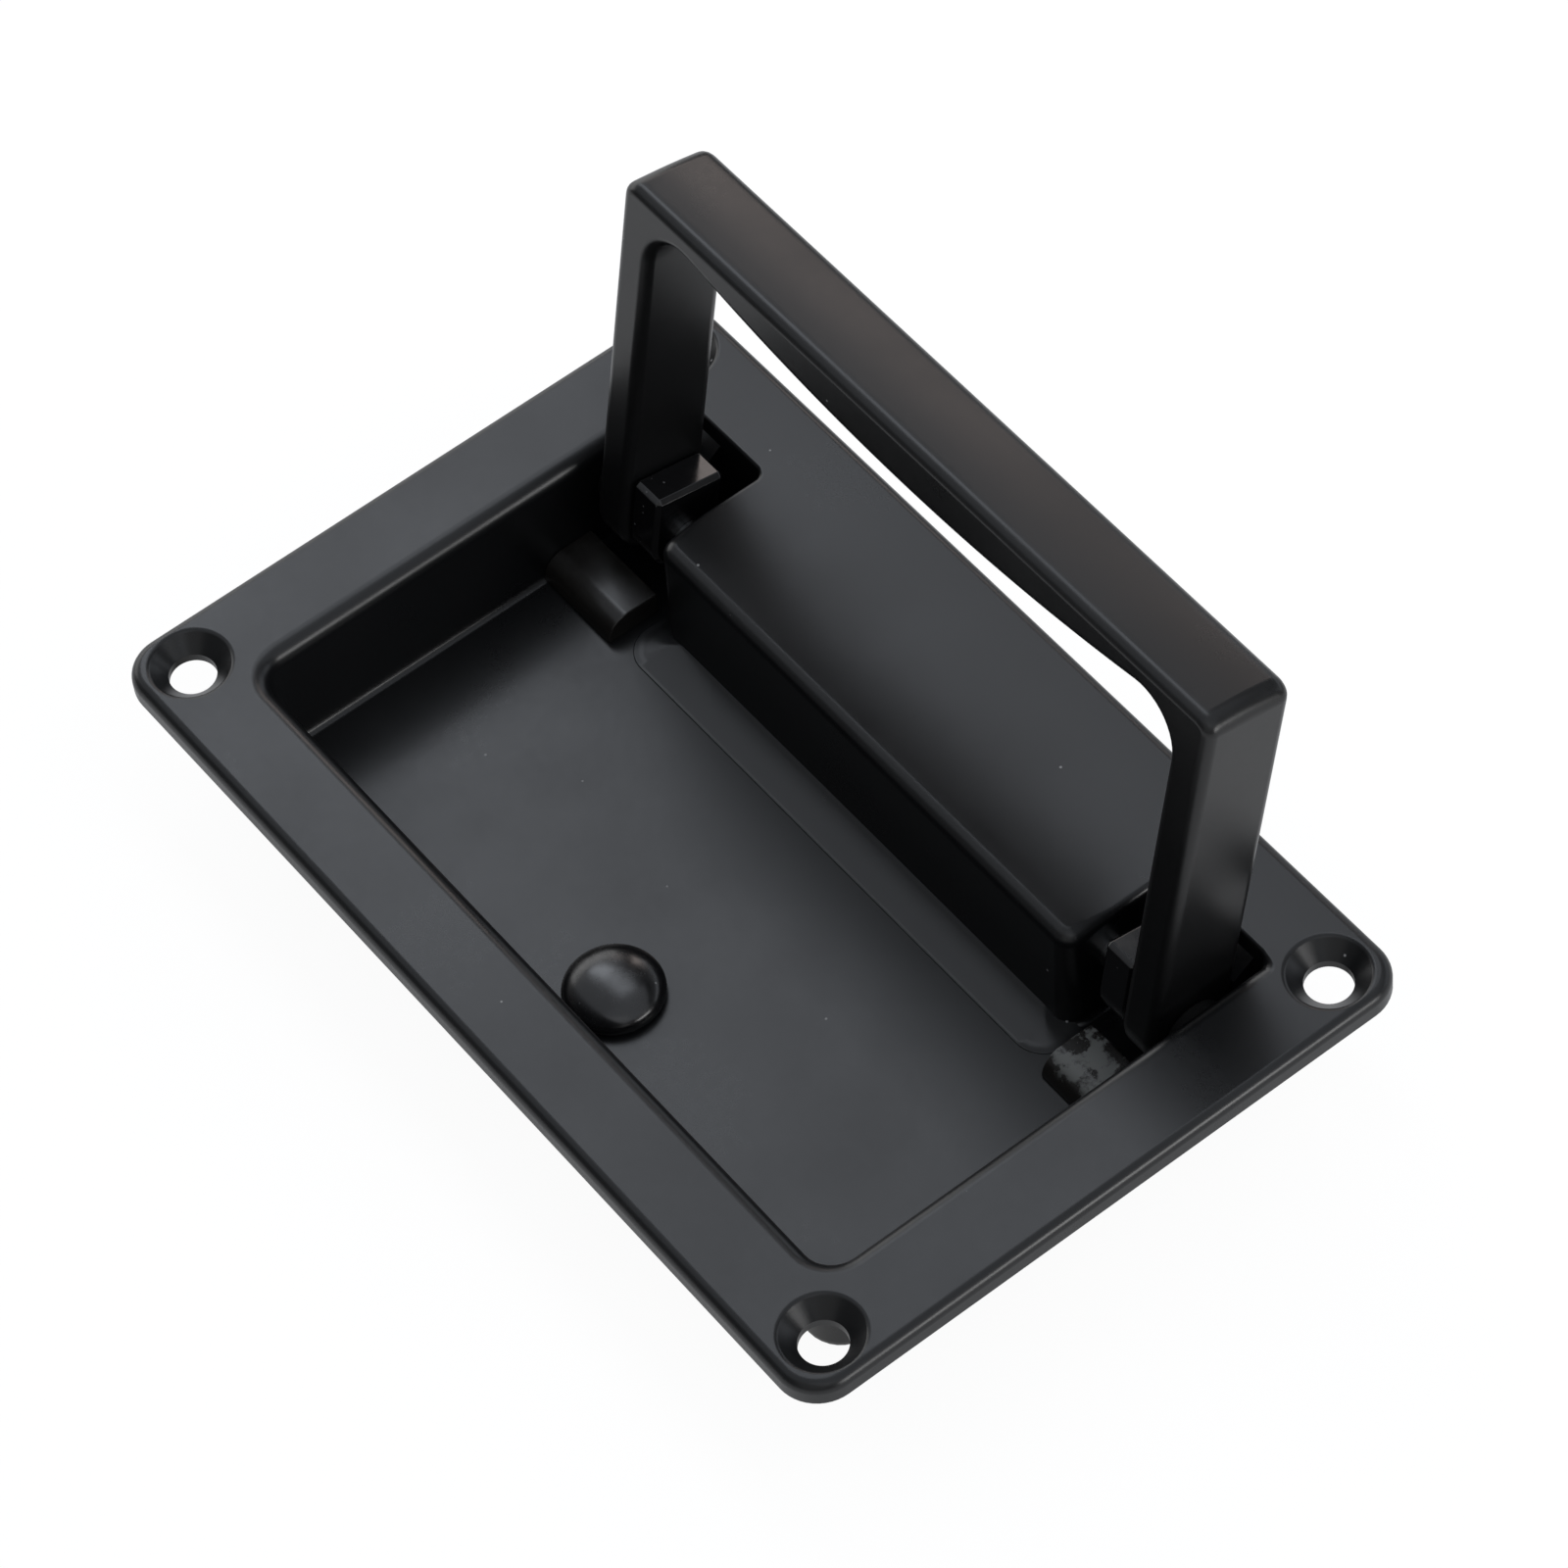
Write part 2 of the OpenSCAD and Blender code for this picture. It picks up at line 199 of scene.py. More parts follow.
class SmallSizes(PropertyGroup):
    """Sizes of the small parts."""

    block_width: size("Block width", 9.3, "Width of each pivot block across its leg")
    block_height: size("Block height", 7.1, "Height of each block above the pivot")
    block_edge: size("Block edge", 0.55, "Chamfer round each block")
    block_fine: size("Block fine edge", 0.1, "Rounding of the chamfer's own two edges")
    pad_round: size("Pad rounding", 3.0, "Rounding of each rest pad's front edge")
    pad_edge: size("Pad edge", 0.3, "Rounding of the pads' other edges")
    pin_chamfer: size("Pin chamfer", 0.3, "Chamfer at the ends of each pin")
    stem: size("Stem", 2.0, "Radius of the bumper's stem")
    dome_brim: size("Dome brim", 0.9, "Height at which the bumper is widest")
    dome_foot: size("Dome foot", 0.7, "How far the bumper draws in below that")
    soft_edge: size("Soft edge", 0.15, "Chamfer of the washers' edges")


class Finishes(PropertyGroup):
    """Colours and gloss of the surfaces."""

    coat: tint("Powder coat", (0.0044, 0.0047, 0.0053), "Black coat of the pan")
    bail_coat: tint("Bail coat", (0.0044, 0.0045, 0.0048), "Black coat of the bail")
    gloss_black: tint("Gloss black", (0.004, 0.004, 0.0045), "Bumper and blocks")
    pad: tint("Pad", (0.011, 0.010, 0.009), "Rest pads")
    pad_pale_top: tint("Pale pad top", (0.13, 0.135, 0.13), "Paler patches on a rest pad's top")
    steel: tint("Steel", (0.34, 0.35, 0.36), "Pivot pins")
    washer: tint("Washer", (0.006, 0.006, 0.006), "Thrust washers")
    dust: tint("Dust", (0.30, 0.30, 0.30), "Specks of dust on the coat")
    coat_roughness: share("Coat roughness", 0.30, "Roughness of the powder coat")


class StageSettings(PropertyGroup):
    """Camera, floor and lamps."""

    azimuth: rotation("Azimuth", 57.909, "Where the camera stands round the object")
    elevation: rotation("Elevation", 53.718, "How far the camera looks down")
    roll: rotation("Roll", -7.262, "Turn of the camera about its own axis")
    place: FloatVectorProperty(
        name="Place",
        description="Camera position",
        default=(0.34792, -0.21284, 0.56318),
        size=3,
        subtype="TRANSLATION",
    )
    lens: FloatProperty(
        name="Lens", description="Focal length on a 36 mm sensor", default=149.02
    )
    floor: tint("Floor", (0.90, 0.90, 0.90), "Colour of the floor")


def smoothstep(low, high, value):
    """0 below low, 1 above high and a smooth rise between."""
    t = min(max((value - low) / (high - low), 0.0), 1.0)
    return t * t * (3 - 2 * t)


def lerp(a, b, t):
    """The value a share t of the way from a to b."""
    return a + (b - a) * t


def outline(corners, steps=8, longest=2.5 * MM):
    """Points and outward normals of a counter-clockwise plan of right-angled corners.

    Each corner is (x, y, radius), rounded in the given steps. Straight runs are cut
    into stretches no longer than longest.
    """
    points, normals = [], []
    for i, (x, y, radius) in enumerate(corners):
        here = Vector((x, y))
        after_x, after_y, after_radius = corners[(i + 1) % len(corners)]
        coming = (here - Vector(corners[i - 1][:2])).normalized()
        going = (Vector((after_x, after_y)) - here).normalized()
        turn = 1 if coming.cross(going) > 0 else -1
        centre = here + (going - coming) * radius
        first = Vector((coming.y, -coming.x))
        last = Vector((going.y, -going.x))
        for k in range(steps + 1):
            angle = k / steps * math.pi / 2
            normal = first * math.cos(angle) + last * math.sin(angle)
            points.append(centre + normal * radius * turn)
            normals.append(normal)
        start = here + going * radius
        run = (Vector((after_x, after_y)) - here).length - radius - after_radius
        cuts = max(1, math.ceil(run / longest))
        for k in range(1, cuts):
            points.append(start + going * run * k / cuts)
            normals.append(last)
    return points, normals


def arc(steps, start=0.0, end=90.0):
    """Sines and cosines of evenly spaced angles, given in degrees."""
    angles = [math.radians(lerp(start, end, k / steps)) for k in range(steps + 1)]
    return [(math.sin(a), math.cos(a)) for a in angles]


def quarter(steps):
    """A quarter round of radius 1 as pairs of inset and drop, from (0, 1) to (1, 0)."""
    return [(1 - cosine, 1 - sine) for sine, cosine in arc(steps)]


def add_ring(bm, plan, offsets, heights):
    """Vertices round a plan, moved out by offsets and set at heights."""
    points, normals = plan
    return [
        bm.verts.new((*(p + n * d), z))
        for p, n, d, z in zip(points, normals, offsets, heights, strict=True)
    ]


def level_rings(bm, plan, places):
    """Level rings round a plan, one for each (offset, height)."""
    count = len(plan[0])
    return [add_ring(bm, plan, [d] * count, [z] * count) for d, z in places]


def rectangle(x, y0, y1, radius):
    """Corners of a rectangular plan from -x to x, for outline."""
    return [(-x, y0, radius), (x, y0, radius), (x, y1, radius), (-x, y1, radius)]


def bridge(bm, ring, other):
    """Quads between two closed rings of equal length."""
    for i in range(len(ring)):
        j = (i + 1) % len(ring)
        bm.faces.new((ring[i], ring[j], other[j], other[i]))


def bridge_all(bm, rings):
    """Quads between each ring and the next."""
    for ring, other in zip(rings, rings[1:], strict=False):
        bridge(bm, ring, other)


def encloses(loop, x, y):
    """Whether a closed loop of vertices goes round a point, seen from above."""
    odd = False
    for a, b in zip(loop, loop[1:] + loop[:1], strict=True):
        ax, ay = a.co.xy
        bx, by = b.co.xy
        if (ay > y) != (by > y) and x < ax + (bx - ax) * (y - ay) / (by - ay):
            odd = not odd
    return odd


def cap(bm, *loops):
    """Triangles over the flat region inside the first loop and outside the others."""
    verts, edges = [], []
    for loop in loops:
        start = len(verts)
        verts += loop
        edges += [(start + k, start + (k + 1) % len(loop)) for k in range(len(loop))]
    flat = [v.co.xy for v in verts]
    found = delaunay_2d_cdt(flat, edges, [], INSIDE, NEAREST)
    faces, sources = found[2], found[3]
    if len(sources) != len(verts) or any(len(source) != 1 for source in sources):
        raise RuntimeError("two points of a flat face's outline fall together")
    for face in faces:
        corners = [verts[sources[k][0]] for k in face]
        x, y = (sum(v.co[axis] for v in corners) / 3 for axis in (0, 1))
        if not any(encloses(hole, x, y) for hole in loops[1:]):
            bm.faces.new(corners)


def revolve(profile):
    """A closed solid of revolution about Z, from a list of (radius, height) points.

    A profile that starts and ends on the axis is a bar, and any other is a ring.
    """
    angles = [2 * math.pi * k / ROUND_STEPS for k in range(ROUND_STEPS)]
    bm = bmesh.new()
    rings = []
    for radius, height in profile:
        if radius == 0.0:
            rings.append([bm.verts.new((0, 0, height))])
            continue
        ring = [
            bm.verts.new((radius * math.cos(a), radius * math.sin(a), height))
            for a in angles
        ]
        rings.append(ring)
    closed = len(rings[0]) > 1
    pairs = list(zip(rings, rings[1:] + rings[:1], strict=True))
    for ring, other in pairs if closed else pairs[:-1]:
        if len(ring) > 1 and len(other) > 1:
            bridge(bm, ring, other)
            continue
        tip, base = (ring, other) if len(ring) == 1 else (other, ring)
        for k in range(ROUND_STEPS):
            bm.faces.new((tip[0], base[k], base[(k + 1) % ROUND_STEPS]))
    return bm


def to_object(bm, name):
    """Turns a bmesh into a linked object with its faces pointing outwards."""
    bmesh.ops.recalc_face_normals(bm, faces=bm.faces)
    mesh = bpy.data.meshes.new(name)
    bm.to_mesh(mesh)
    bm.free()
    obj = bpy.data.objects.new(name, mesh)
    bpy.context.scene.collection.objects.link(obj)
    return obj


def about_pivot(profile, name):
    """A turned part about the pivot axis, from a list of (radius, x) points."""
    bm = revolve(profile)
    turn = Matrix.Rotation(math.pi / 2, 3, "Y")
    bmesh.ops.rotate(bm, verts=bm.verts, matrix=turn)
    bmesh.ops.translate(bm, verts=bm.verts, vec=PIVOT)
    return to_object(bm, name)


def bar_x(x0, x1, radius, name):
    """A plain round bar about the pivot axis, from x0 to x1."""
    return about_pivot([(0.0, x0), (radius, x0), (radius, x1), (0.0, x1)], name)


def ring_x(inner, outer, cut, x0, x1, name):
    """A chamfered ring about the pivot axis, or from radius 0 a dowel."""
    neck = outer - cut
    profile = [(inner, x0), (neck, x0), (outer, x0 + cut)]
    profile += [(outer, x1 - cut), (neck, x1), (inner, x1)]
    return about_pivot(profile, name)


def extrude_x(section, x0, x1, name):
    """A closed solid with the given (y, z) section, from x0 to x1."""
    bm = bmesh.new()
    ends = [[bm.verts.new((x, y, z)) for y, z in section] for x in (x0, x1)]
    bridge_all(bm, ends)
    for end in ends:
        bm.faces.new(end)
    return to_object(bm, name)


def span(side, near, far):
    """The x range of a part on one side, lowest first, from its range on the right."""
    return sorted((side * near, side * far))


def discard(obj):
    """Removes an object that is used up, and its mesh."""
    mesh = obj.data
    bpy.data.objects.remove(obj)
    bpy.data.meshes.remove(mesh)


def apply_modifiers(obj):
    """Bakes an object's modifiers into its mesh."""
    graph = bpy.context.evaluated_depsgraph_get()
    mesh = bpy.data.meshes.new_from_object(obj.evaluated_get(graph))
    old = obj.data
    obj.modifiers.clear()
    obj.data = mesh
    bpy.data.meshes.remove(old)
    mesh.name = obj.name
    return obj


def combine(obj, other, operation):
    """Joins or cuts obj with other, which is used up."""
    modifier = obj.modifiers.new(operation.lower(), "BOOLEAN")
    modifier.operation = operation
    modifier.solver = "EXACT"
    modifier.object = other
    apply_modifiers(obj)
    discard(other)
    return obj


def round_edges(obj, width, segments=4, crease=40.0):
    """Rounds every edge sharper than crease degrees."""
    modifier = obj.modifiers.new("round edges", "BEVEL")
    modifier.width = width
    modifier.segments = segments
    modifier.limit_method = "ANGLE"
    modifier.angle_limit = math.radians(crease)
    modifier.use_clamp_overlap = True
    return apply_modifiers(obj)


def shade(obj, crease=35.0):
    """Sets normals so that flats stay flat up to their edges and rounds look round.

    A corner's normal is the mean of the faces round its vertex that lie within crease
    degrees of its own face, weighted by the square of the area of each one's whole
    plane. Faces share a plane if normals agree to 3 digits and depths to 0.01 mm.
    """
    mesh = obj.data
    mesh.polygons.foreach_set("use_smooth", [True] * len(mesh.polygons))

    def read(key, width):
        values = np.zeros(len(mesh.polygons) * width)
        mesh.polygons.foreach_get(key, values)
        return values.reshape(-1, width)

    normals = read("normal", 3)
    areas = read("area", 1)[:, 0]
    depths = (normals * read("center", 3)).sum(1)
    planes = {}
    keys = []
    for n, d, area in zip(normals, depths, areas, strict=True):
        key = (*(round(float(x), 3) + 0.0 for x in n), round(float(d) / MM, 2) + 0.0)
        planes[key] = planes.get(key, 0.0) + float(area)
        keys.append(key)
    weights = np.array([planes[k] for k in keys]) ** 2
    around = [[] for _ in mesh.vertices]
    for polygon in mesh.polygons:
        for v in polygon.vertices:
            around[v].append(polygon.index)
    limit = math.cos(math.radians(crease))
    corner_normals = []
    for polygon in mesh.polygons:
        own = normals[polygon.index]
        for v in polygon.vertices:
            near = [f for f in around[v] if normals[f] @ own > limit]
            total = (normals[near] * weights[near][:, None]).sum(0)
            long = float(np.linalg.norm(total))
            corner_normals.append(total / long if long > 0 else own)
    mesh.normals_split_custom_set(corner_normals)


def finish_piece(obj, material, body, node):
    """Shades a piece, gives it its material, ties it to its body and hides its node."""
    shade(obj)
    obj.data.materials.clear()
    obj.data.materials.append(material)
    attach(obj, body)
    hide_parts(node)


class Nodes:
    """A short way to write the node tree of a material or a world."""

    def __init__(self, owner, shader):
        owner.use_nodes = True
        self.owner = owner
        self.tree = owner.node_tree
        self.shader = self.tree.nodes[shader]

    def add(self, kind, inputs=(), **settings):
        """Adds a node, with its settings and its inputs as values or links."""
        node = self.tree.nodes.new(kind)
        for key, value in settings.items():
            setattr(node, key, value)
        for key, value in dict(inputs).items():
            self.put(node, key, value)
        return node

    def put(self, node, key, value):
        """Sets one input of a node to a value or links it to a socket."""
        if isinstance(value, bpy.types.NodeSocket):
            self.tree.links.new(value, node.inputs[key])
        else:
            node.inputs[key].default_value = value

    def give(self, key, value):
        """Sets one of the shader's own inputs."""
        self.put(self.shader, key, value)

    def math(self, operation, a, b=0.0, clamp=False):
        """A Math node's output."""
        settings = {"operation": operation, "use_clamp": clamp}
        return self.add("ShaderNodeMath", {0: a, 1: b}, **settings).outputs[0]

    def ramp(self, value, low, high, out_low=0.0, out_high=1.0):
        """Maps value from low..high to out_low..out_high, smoothly and clamped."""
        inputs = {"Value": value, "From Min": low, "From Max": high}
        inputs |= {"To Min": out_low, "To Max": out_high}
        node = self.add("ShaderNodeMapRange", inputs, interpolation_type="SMOOTHSTEP")
        return node.outputs["Result"]

    def noise(self, place, scale, detail=2.0, roughness=0.5):
        """A noise texture's value, with scale in cells per metre."""
        inputs = {"Vector": place, "Scale": scale}
        inputs |= {"Detail": detail, "Roughness": roughness}
        return self.add("ShaderNodeTexNoise", inputs).outputs["Fac"]

    def mix(self, factor, a, b):
        """A colour between a and b."""
        node = self.add("ShaderNodeMix", data_type="RGBA")
        self.put(node, "Factor", factor)
        for key, value in ((6, a), (7, b)):
            if not isinstance(value, bpy.types.NodeSocket):
                value = (*value, 1.0)
            self.put(node, key, value)
        return node.outputs[2]

    def place(self):
        """Object coordinates."""
        return self.add("ShaderNodeTexCoord").outputs["Object"]

    def specks(self, place, scale, rarity, core, reach):
        """1 on the dots of a few random cells, fading to 0 from core to reach."""
        cells = self.add("ShaderNodeTexVoronoi", {"Vector": place, "Scale": scale})
        chosen = self.add("ShaderNodeSeparateColor", {"Color": cells.outputs["Color"]})
        few = self.ramp(chosen.outputs["Red"], rarity, rarity + 0.005)
        dot = self.ramp(cells.outputs["Distance"], core, reach, 1.0, 0.0)
        return self.math("MULTIPLY", few, dot, clamp=True)

    def bump(self, height, strength, distance):
        """Bends the shader's normal by a height."""
        inputs = {"Height": height, "Strength": strength, "Distance": distance}
        self.give("Normal", self.add("ShaderNodeBump", inputs).outputs["Normal"])

    def show_white(self, white, direct, mirrored, output):
        """Shows a plain white instead: to the camera, and in metal, gloss and glass."""
        path = self.add("ShaderNodeLightPath").outputs
        rays = self.math("MAXIMUM", path["Is Glossy Ray"], path["Is Transmission Ray"])
        bounced = self.math("MULTIPLY", rays, mirrored)
        straight = self.math("MULTIPLY", path["Is Camera Ray"], direct)
        part = self.math("MAXIMUM", straight, bounced)
        blend = self.add("ShaderNodeMixShader", {"Fac": part})
        self.put(blend, 1, self.shader.outputs[0])
        self.put(blend, 2, white.outputs[0])
        self.put(self.tree.nodes[output], "Surface", blend.outputs["Shader"])


def surface(name):
    """The nodes of a new material."""
    return Nodes(bpy.data.materials.new(name), "Principled BSDF")


def scaled(colour, factor):
    """A colour made darker or lighter."""
    return [channel * factor for channel in colour]


def powder_coat(name, colour, look):
    """Satin powder coat: fine orange peel, uneven sheen and a few specks of dust."""
    n = surface(name)
    place = n.place()
    blotch = n.noise(place, scale=38.0, detail=3.0, roughness=0.55)
    grain = n.noise(place, scale=900.0, detail=4.0, roughness=0.6)
    peel = n.noise(place, scale=1500.0)
    tone = n.mix(n.ramp(blotch, 0.35, 0.7), scaled(colour, 0.92), scaled(colour, 1.08))
    dusty = n.specks(place, scale=400.0, rarity=0.93, core=0.04, reach=0.08)
    n.give("Base Color", n.mix(dusty, tone, look.dust))
    sheen = n.ramp(blotch, 0.3, 0.72, -0.03, 0.045)
    sheen = n.math("ADD", sheen, look.coat_roughness)
    sheen = n.math("ADD", sheen, n.ramp(grain, 0.3, 0.7, -0.01, 0.01))
    dust_dulls = n.math("MULTIPLY", dusty, 0.4)
    n.give("Roughness", n.math("ADD", sheen, dust_dulls))
    n.bump(peel, strength=0.035, distance=0.03 * MM)
    return n.owner


def gloss_moulding(name, smooth, dull, look):
    """Black moulding with handling marks, from smooth to dull, and a few specks."""
    n = surface(name)
    place = n.place()
    marks = n.noise(place, scale=420.0, detail=5.0, roughness=0.7)
    specks = n.specks(place, scale=900.0, rarity=0.84, core=0.05, reach=0.16)
    dusty = n.math("MULTIPLY", specks, 0.45)
    n.give("Base Color", n.mix(dusty, look.gloss_black, look.dust))
    n.give("Roughness", n.ramp(marks, 0.35, 0.75, smooth, dull))
    n.give("Specular IOR Level", 0.7)
    n.bump(n.noise(place, scale=260.0), strength=0.12, distance=0.04 * MM)
    return n.owner


def pale_topped_pad(name, paleness, look):
    """Semi-gloss moulding whose top is paler and rougher in random patches."""
    n = surface(name)
    place = n.place()
    parts = n.add("ShaderNodeSeparateXYZ", {"Vector": place})
    # Paler, rougher colour in noise patches near the pad's top, chosen by height.
    high = n.ramp(parts.outputs["Z"], PAD_HIGH.z - 1.7 * MM, PAD_HIGH.z - 0.1 * MM)
    patches = n.noise(place, scale=360.0, detail=5.0, roughness=0.65)
    patches = n.ramp(patches, 0.47, 0.56)
    pale_top = n.math("MULTIPLY", n.math("MULTIPLY", high, patches), paleness, clamp=True)
    n.give("Base Color", n.mix(pale_top, look.pad, look.pad_pale_top))
    n.give("Roughness", n.ramp(pale_top, 0.0, 1.0, 0.26, 0.5))
    grain = n.noise(place, scale=1300.0, detail=3.0)
    n.bump(grain, strength=0.12, distance=0.03 * MM)
    return n.owner


def ground_steel(name, colour):
    """Ground steel with fine rings round the pin."""
    n = surface(name)
    stretch = (12000.0, 300.0, 300.0)
    stretched = n.add("ShaderNodeMapping", {"Vector": n.place(), "Scale": stretch})
    rings = n.noise(stretched.outputs["Vector"], scale=1.0, detail=3.0)
    n.give("Base Color", n.mix(rings, scaled(colour, 0.85), colour))
    n.give("Metallic", 1.0)
    n.give("Roughness", n.ramp(rings, 0.3, 0.7, 0.22, 0.36))
    return n.owner


def matte_moulding(name, colour):
    """Plain matte moulding with a fine grain."""
    n = surface(name)
    grain = n.noise(n.place(), scale=2600.0, detail=3.0)
    n.give("Base Color", n.mix(grain, scaled(colour, 0.8), colour))
    n.give("Roughness", n.ramp(grain, 0.3, 0.7, 0.48, 0.62))
    n.give("Specular IOR Level", 0.15)
    n.bump(grain, strength=0.1, distance=0.02 * MM)
    return n.owner


def recess_corners(s, wall=0.0, notch=None, least=0.0):
    """Corners of the U-shaped recess, or of the shell round it, counter-clockwise.

    The shell's notch below the shelf has its own corner radius. No corner that sticks
    out is smaller than least, which leaves room for the rounding of the bottom edge.
    """
    half = RECESS_HALF + wall
    front = -s.front_wall - wall
    rear = s.rear_wall + wall
    inner = SHELF_HALF - wall
    shelf = s.shelf_front + wall
    pocket = max(s.pocket_corner + wall, least)
    tip = max(s.pocket_corner if notch is None else notch, least)
    fold = s.shelf_corner if notch is None else notch
    return [
        (-half, front, s.recess_corner + wall),
        (half, front, s.recess_corner + wall),
        (half, rear, pocket),
        (inner, rear, tip),
        (inner, shelf, fold),
        (-inner, shelf, fold),
        (-inner, rear, tip),
        (-half, rear, pocket),
    ]


def lip_radius(point, s):
    """Rounding of the recess's rim at a point of its plan."""
    beside_shelf = point.y > s.shelf_front - SLACK and abs(point.x) < LEG_INNER
    if beside_shelf:
        start = s.shelf_front + s.shelf_corner
        t = smoothstep(start, start + s.edge_taper, point.y)
        radius = lerp(s.shelf_edge, s.pocket_edge, t)
    else:
        radius = s.lip
    turn = s.rear_wall - s.pocket_corner
    return lerp(radius, s.rear_edge, smoothstep(turn, s.rear_wall, point.y))


def rim_rings(bm, s):
    """The flange's outer rim, from its back face to its top."""
    plan = outline(rectangle(PAN_HIGH.x, -PAN_HIGH.y, PAN_HIGH.y, s.corner), steps=12)
    back, top = s.back_edge, PAN_HIGH.z
    places = [(-back * drop, back * inset) for inset, drop in quarter(4)]
    places += [(-s.edge * inset, top - s.edge * drop) for inset, drop in quarter(8)]
    return level_rings(bm, plan, places)


def foot_inset(point, s):
    """How far the foot of the recess's wall stands in from its top at a point."""
    beside_shelf = point.y > s.shelf_front - SLACK
    inside = 1 - smoothstep(SHELF_HALF - s.shelf_corner, SHELF_HALF, abs(point.x))
    return s.shelf_draft * inside if beside_shelf and inside > 0 else 0.0


def recess_rings(bm, s):
    """The recess's lip, walls and floor fillet, from the top down."""
    plan = outline(recess_corners(s))
    radii = [lip_radius(p, s) for p in plan[0]]
    drafts = [foot_inset(p, s) for p in plan[0]]
    rings = []
    for inset, drop in reversed(quarter(8)):
        offsets = [r * inset for r in radii]
        heights = [PAN_HIGH.z - r * drop for r in radii]
        rings.append(add_ring(bm, plan, offsets, heights))
    for inset, drop in quarter(5):
        offsets = [-d - s.floor_fillet * inset for d in drafts]
        heights = [FLOOR_Z + s.floor_fillet * drop] * len(drafts)
        rings.append(add_ring(bm, plan, offsets, heights))
    return rings


def shell_rings(bm, s):
    """The outside of the pan below the flange, from the flange's back down."""
    least = s.shell_draft + s.shell_edge + SLACK
    plan = outline(recess_corners(s, WALL, s.shell_notch, least))
    fillet, edge = s.shell_fillet, s.shell_edge
    places = [(fillet * a, -fillet * b) for a, b in reversed(quarter(3))]
    places += [(-s.shell_draft - edge * a, PAN_LOW.z + edge * b) for a, b in quarter(8)]
    return level_rings(bm, plan, places)


def pan_body(s):
    """The pan without its screw holes, strip and stops."""
    bm = bmesh.new()
    rim = rim_rings(bm, s)
    recess = recess_rings(bm, s)
    shell = shell_rings(bm, s)
    for rings in (rim, recess, shell):
        bridge_all(bm, rings)
    cap(bm, rim[-1], recess[0])
    cap(bm, recess[-1])
    cap(bm, rim[0], shell[0])
    cap(bm, shell[-1])
    return to_object(bm, "pan_casting")


def floor_strip(s):
    """The low ramp at the foot of the shelf, with a small round step at its front."""
    reach = SHELF_HALF + s.strip_over
    front = s.shelf_front - s.strip_width
    rear = s.shelf_front + s.strip_width + OVER
    step = s.strip_step
    profile = [(0.0, -OVER)]
    profile += [(step * (1 - cosine), step * sine) for sine, cosine in arc(5)]
    start = step + s.strip_lip
    last = s.strip_width - 0.05 * MM
    stages = 6
    for k in range(stages + 1):
        t = k / stages
        profile.append((lerp(start, last, t), lerp(step, s.strip_height, t)))
    tightest = 0.3 * MM
    bm = bmesh.new()
    rings = []
    for inset, height in profile:
        radius = max(s.strip_corner - inset, tightest)
        corners = rectangle(reach - inset, front + inset, rear - inset, radius)
        plan = outline(corners, steps=10, longest=math.inf)
        rings += level_rings(bm, plan, [(0.0, FLOOR_Z + height)])
    bridge_all(bm, rings)
    cap(bm, rings[0])
    cap(bm, rings[-1])
    # Nothing may come out behind the shelf's wall.
    whole = bm.verts[:] + bm.edges[:] + bm.faces[:]
    middle = s.shelf_front + WALL / 2
    cut = bmesh.ops.bisect_plane(
        bm, geom=whole, plane_co=(0, middle, 0), plane_no=(0, 1, 0), clear_outer=True
    )
    edges = [e for e in cut["geom_cut"] if isinstance(e, bmesh.types.BMEdge)]
    bmesh.ops.holes_fill(bm, edges=edges)
    return to_object(bm, "floor_strip")


def open_stop(side, s, bail):
    """The rib that the open bail leans on, on a pocket's rear wall."""
    slope = math.tan(LEAN)
    face = PIVOT.y + (bail.width / 2 + s.stop_gap) / math.cos(LEAN)
    wall = s.rear_wall + WALL / 2
    low = s.stop_low
    high = low + s.stop_face
    section = [
        (face + low * slope, PIVOT.z + low),
        (wall, PIVOT.z + low),
        (wall, PIVOT.z + high + s.stop_rise),
        (face + high * slope, PIVOT.z + high),
    ]
    middle = (BAIL_HALF + LEG_INNER) / 2
    ends = span(side, middle - s.stop_half, middle + s.stop_half)
    return extrude_x(section, *ends, "open_stop")


def screw_cutter(s):
    """What one countersunk screw hole takes off, standing on the flange's back face."""
    top = PAN_HIGH.z
    hole = SCREWS["hole_r_mm"] * MM
    rim = s.sink_rim
    # The countersink's wall stands at 45 degrees, so its round rim starts this far out.
    wide = s.sink + rim * math.tan(math.radians(22.5))
    back_edge = 0.2 * MM
    wider = hole + back_edge
    profile = [(0.0, -OVER), (wider, -OVER), (wider, 0.0), (hole, back_edge)]
    profile.append((hole, top - (s.sink - hole)))
    for sine, cosine in arc(6, 45.0, 0.0):
        profile.append((wide - rim * sine, top - rim + rim * cosine))
    profile += [(wide, top + OVER), (0.0, top + OVER)]
    return to_object(revolve(profile), "screw_cutter")


